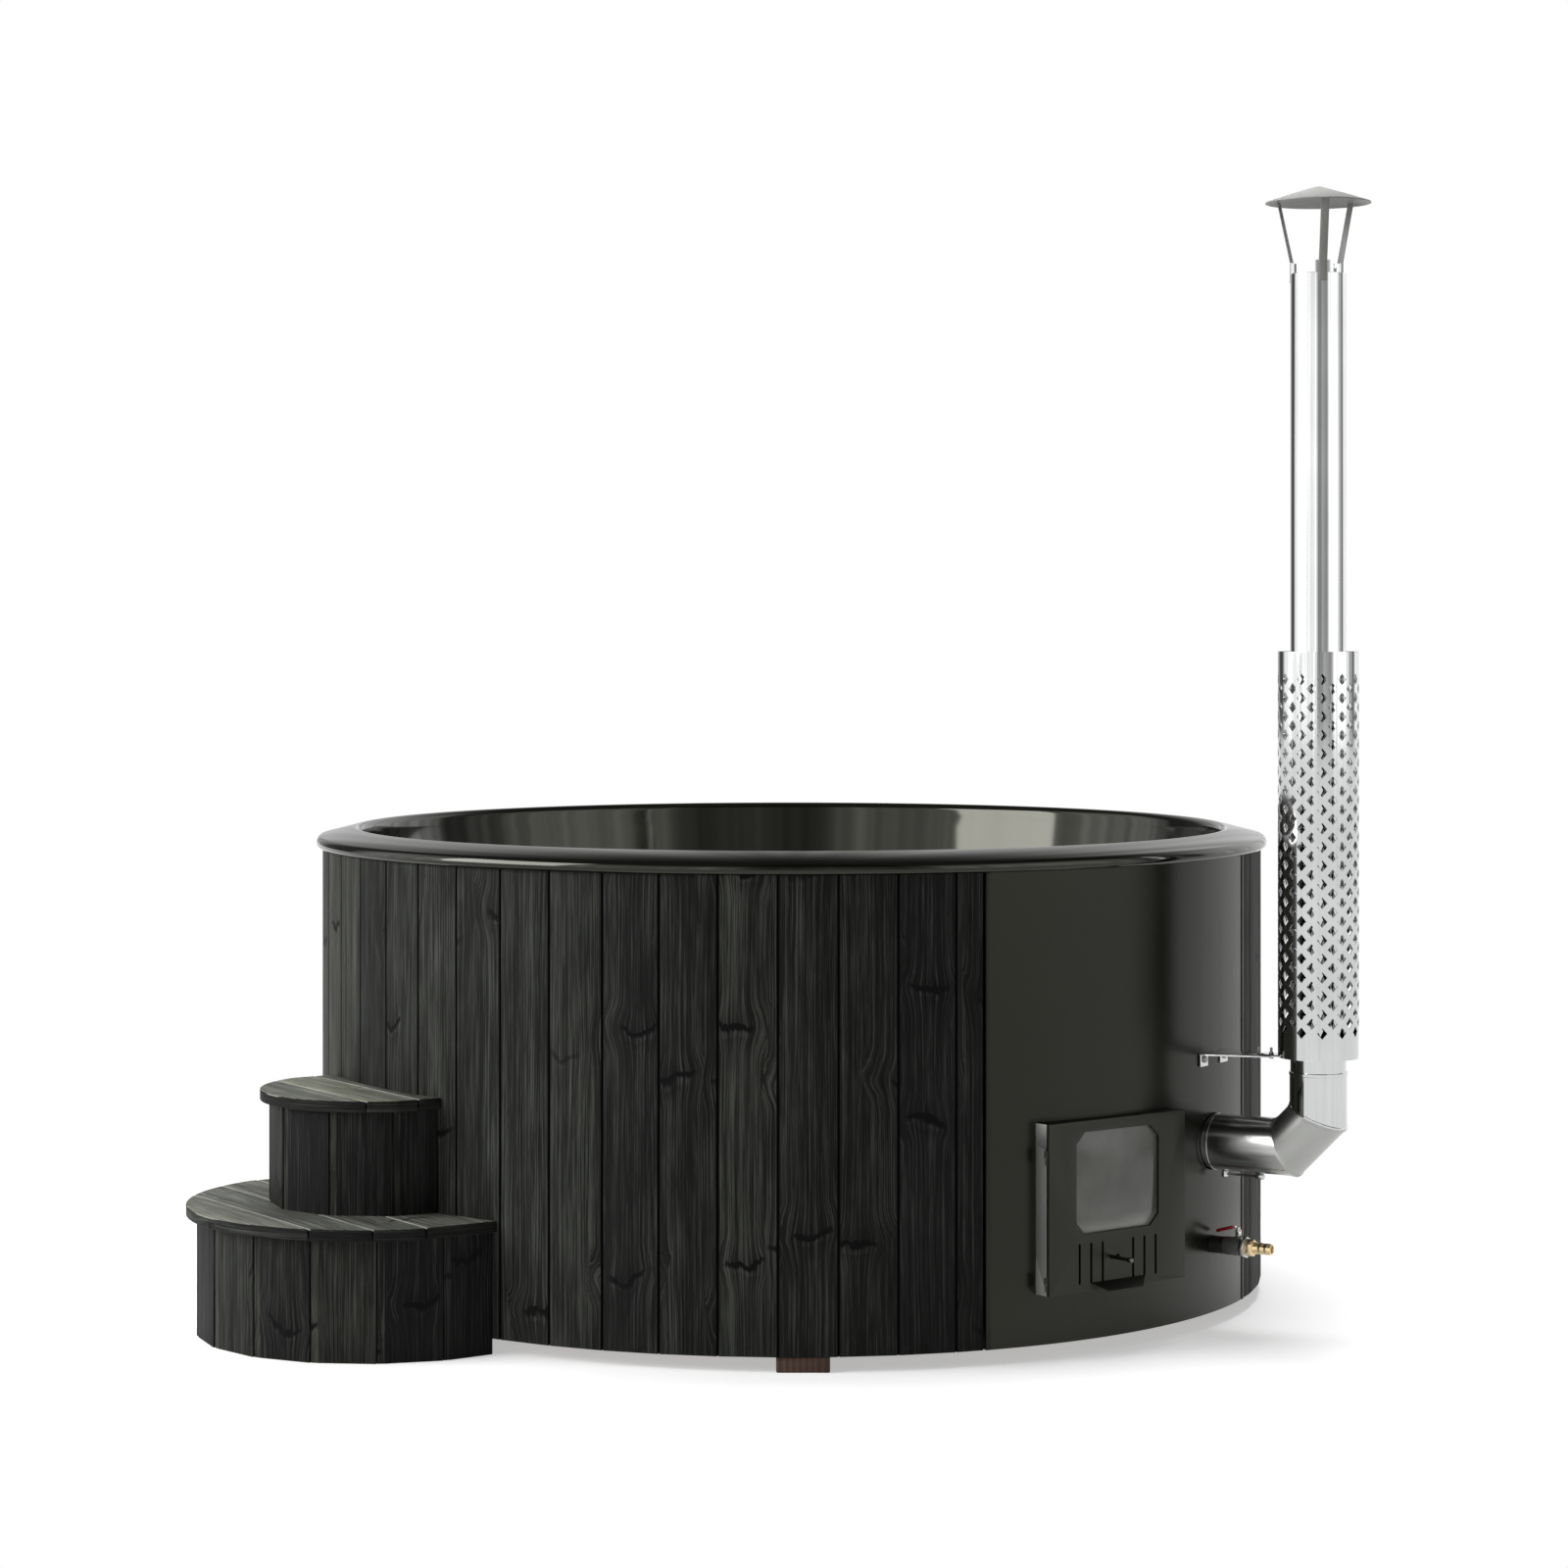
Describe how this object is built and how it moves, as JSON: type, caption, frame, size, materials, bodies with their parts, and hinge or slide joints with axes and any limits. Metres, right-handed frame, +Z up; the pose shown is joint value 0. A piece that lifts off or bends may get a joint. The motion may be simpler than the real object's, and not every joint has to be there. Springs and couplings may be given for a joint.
{
  "type": "wooden hot tub",
  "caption": "Round wood-fired hot tub: board-clad wall, moulded liner with bench, built-in stove behind a cover panel, guarded chimney, drain valve and tiered half-round step.",
  "frame": {"origin": "on the floor, below the middle of the round tub", "axes": "+Z up; -Y is the front; +X to the right, towards the stove and chimney"},
  "size_m": [2.582, 2.2258, 2.498],
  "materials": {
    "black_spruce": "black-stained planed spruce",
    "step_spruce": "black-stained planed spruce",
    "timber": "untreated sawn timber",
    "skid_timber": "brown pressure-treated timber",
    "foam": "foam",
    "gelcoat": "glossy black moulded resin",
    "black_sheet": "glossy black sheet",
    "black_trim": "black",
    "jacket_steel": "welded sheet",
    "fire_steel": "dark heat-worn plate",
    "grate_iron": "cast",
    "stove_black": "black stove paint",
    "mirror_steel": "polished stainless steel",
    "satin_steel": "satin stainless steel",
    "zinc_steel": "zinc-plated steel",
    "drain_plastic": "dark plastic",
    "valve_metal": "dull nickel-plated",
    "valve_bright": "bright nickel-plated",
    "brass": "plain brass",
    "red_vinyl": "red dipped vinyl",
    "fire_glass": "heat-proof glass",
    "rope": "woven rope seal"
  },
  "bodies": {
    "tub": {"cladding_right": "black_spruce", "cladding_rear": "black_spruce", "cladding_left": "black_spruce", "cladding_front": "black_spruce", "lower_step_wall": "step_spruce", "lower_tread": "step_spruce", "upper_step_wall": "step_spruce", "upper_tread": "step_spruce", "floor_joists": "timber", "floor_deck": "timber", "middle_hoop": "timber", "top_hoop": "timber", "wall_studs": "timber", "lower_step_frame": "timber", "upper_step_frame": "timber", "base_skids": "skid_timber", "foam_insulation": "foam", "liner": "gelcoat", "cover_panel": "black_sheet", "panel_battens": "black_trim", "panel_trims": "black_trim", "water_grilles": "black_trim", "heater_jacket": "jacket_steel", "heater_front": "jacket_steel", "water_pipes": "jacket_steel", "firebox": "fire_steel", "smoke_baffle": "fire_steel", "ash_pan": "fire_steel", "fire_grate": "grate_iron", "door_frame": "stove_black", "chimney_pipe": "mirror_steel", "heat_guard": "mirror_steel", "bracket_arm": "mirror_steel", "bracket_ring": "mirror_steel", "flue_stub": "satin_steel", "flue_elbow": "satin_steel", "guard_spacers": "satin_steel", "cap_straps": "satin_steel", "rain_cap": "satin_steel", "hinge_pins": "zinc_steel", "bracket_bolts": "zinc_steel", "drain_pipe": "drain_plastic", "drain_strainer": "drain_plastic", "valve_body": "valve_metal", "valve_nut": "valve_bright", "stem_gland": "valve_bright", "hose_tail": "brass"},
    "door": {"door_plate": "stove_black", "door_glass": "fire_glass", "glass_clips": "zinc_steel", "door_gasket": "rope", "slider_rails": "stove_black", "pull_lip": "stove_black"},
    "air_slider": {"air_slider": "stove_black", "knob_tip": "valve_bright"},
    "valve": {"valve_ball": "valve_bright", "valve_lever": "valve_bright", "lever_grip": "red_vinyl"},
    "damper": {"damper_plate": "fire_steel", "damper_handle": "satin_steel"}
  },
  "joints": [
    {"name": "door_swing", "type": "hinge", "parent": "tub", "child": "door", "pos_m": [0.5315, -1.00351, 0.321], "axis": [0, 0, -1], "range_deg": [0, 110]},
    {"name": "air_slide", "type": "slide", "parent": "door", "child": "air_slider", "axis": [0.788, 0.6157, 0], "range_m": [0, 0.0165]},
    {"name": "valve_turn", "type": "hinge", "parent": "tub", "child": "valve", "pos_m": [0.98002, -0.62434, 0.183], "axis": [0, 0, 1], "range_deg": [0, 90]},
    {"name": "damper_turn", "type": "hinge", "parent": "tub", "child": "damper", "pos_m": [0.95219, -0.60661, 0.41], "axis": [0, 0, 1], "range_deg": [0, 90]}
  ]
}
